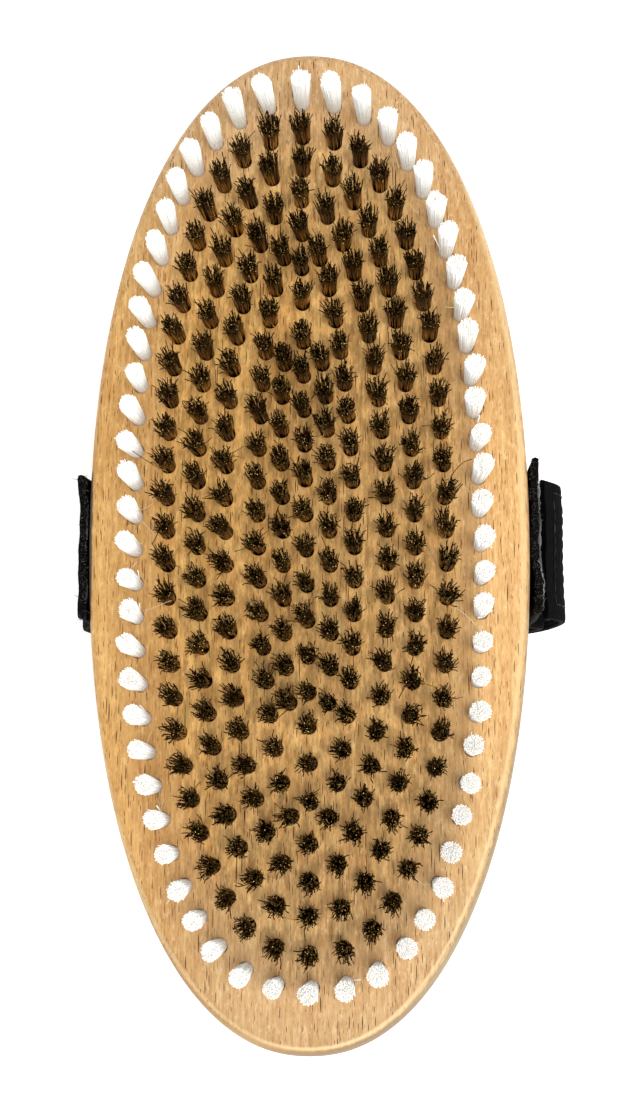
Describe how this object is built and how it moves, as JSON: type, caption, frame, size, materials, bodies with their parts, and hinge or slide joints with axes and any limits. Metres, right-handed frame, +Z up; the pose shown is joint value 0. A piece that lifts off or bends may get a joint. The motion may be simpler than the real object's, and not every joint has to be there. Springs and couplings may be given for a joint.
{
  "type": "brass wire brush",
  "caption": "Oval wooden body brush with crimped brass wire tufts inside a row of white tufts, and a hook-and-loop hand strap across the back.",
  "frame": {"origin": "on the flat underside of the hand strap, under the middle of the board, where the brush rests with its bristles up", "axes": "+Z up, out of the bristle side; +Y along the board's long axis; +X towards the strap's free end"},
  "size_m": [0.1073, 0.209, 0.0688],
  "materials": {
    "beech_face": "fine sanded and waxed beech, warm tan, with short dark pore flecks along the long axis",
    "beech_back": "fine sanded and waxed beech, warm tan, with short dark pore flecks along the long axis",
    "brass_wire": "fine crimped wire, darkened, with bright golden glints",
    "white_bristle": "creamy white filaments with blunt trimmed ends",
    "webbing": "black woven webbing with frayed cut ends",
    "hook_tape": "black hook tape",
    "loop_tape": "black brushed loop tape",
    "blued_steel": "blued steel, semi-gloss"
  },
  "bodies": {
    "brush": {"bristle_board": "beech_face", "back_cover": "beech_back", "white_bristle_row": "white_bristle", "brass_row_1": "brass_wire", "brass_row_2": "brass_wire", "brass_row_3": "brass_wire", "brass_row_4": "brass_wire", "brass_inner_ring": "brass_wire", "brass_centre_row": "brass_wire", "brass_top_pair": "brass_wire", "brass_bottom_pair": "brass_wire", "left_strap_end": "webbing", "right_strap_end": "webbing", "left_tack_1": "blued_steel", "left_tack_2": "blued_steel", "left_tack_3": "blued_steel", "right_tack_1": "blued_steel", "right_tack_2": "blued_steel", "right_tack_3": "blued_steel"},
    "hook_half": {"hook_strap": "webbing"},
    "hook_tail": {"hook_strap_tail": "webbing", "hook_tape": "hook_tape"},
    "loop_half": {"loop_strap": "webbing", "loop_tape": "loop_tape"}
  },
  "joints": [
    {"name": "strap_open", "type": "hinge", "parent": "brush", "child": "hook_half", "pos_m": [-0.0469, 0, 0.0382], "axis": [0, 1, 0], "range_deg": [0, 22]},
    {"name": "tail_peel", "type": "hinge", "parent": "hook_half", "child": "hook_tail", "pos_m": [0.034, 0, 0.00085], "axis": [0, 1, 0], "range_deg": [0, 99]},
    {"name": "loop_fold", "type": "hinge", "parent": "brush", "child": "loop_half", "pos_m": [0.0469, 0, 0.0382], "axis": [0, 1, 0], "range_deg": [0, 22]}
  ],
  "couplings": [
    {"joint": "tail_peel", "follows": "strap_open", "ratio": 4.5}
  ]
}
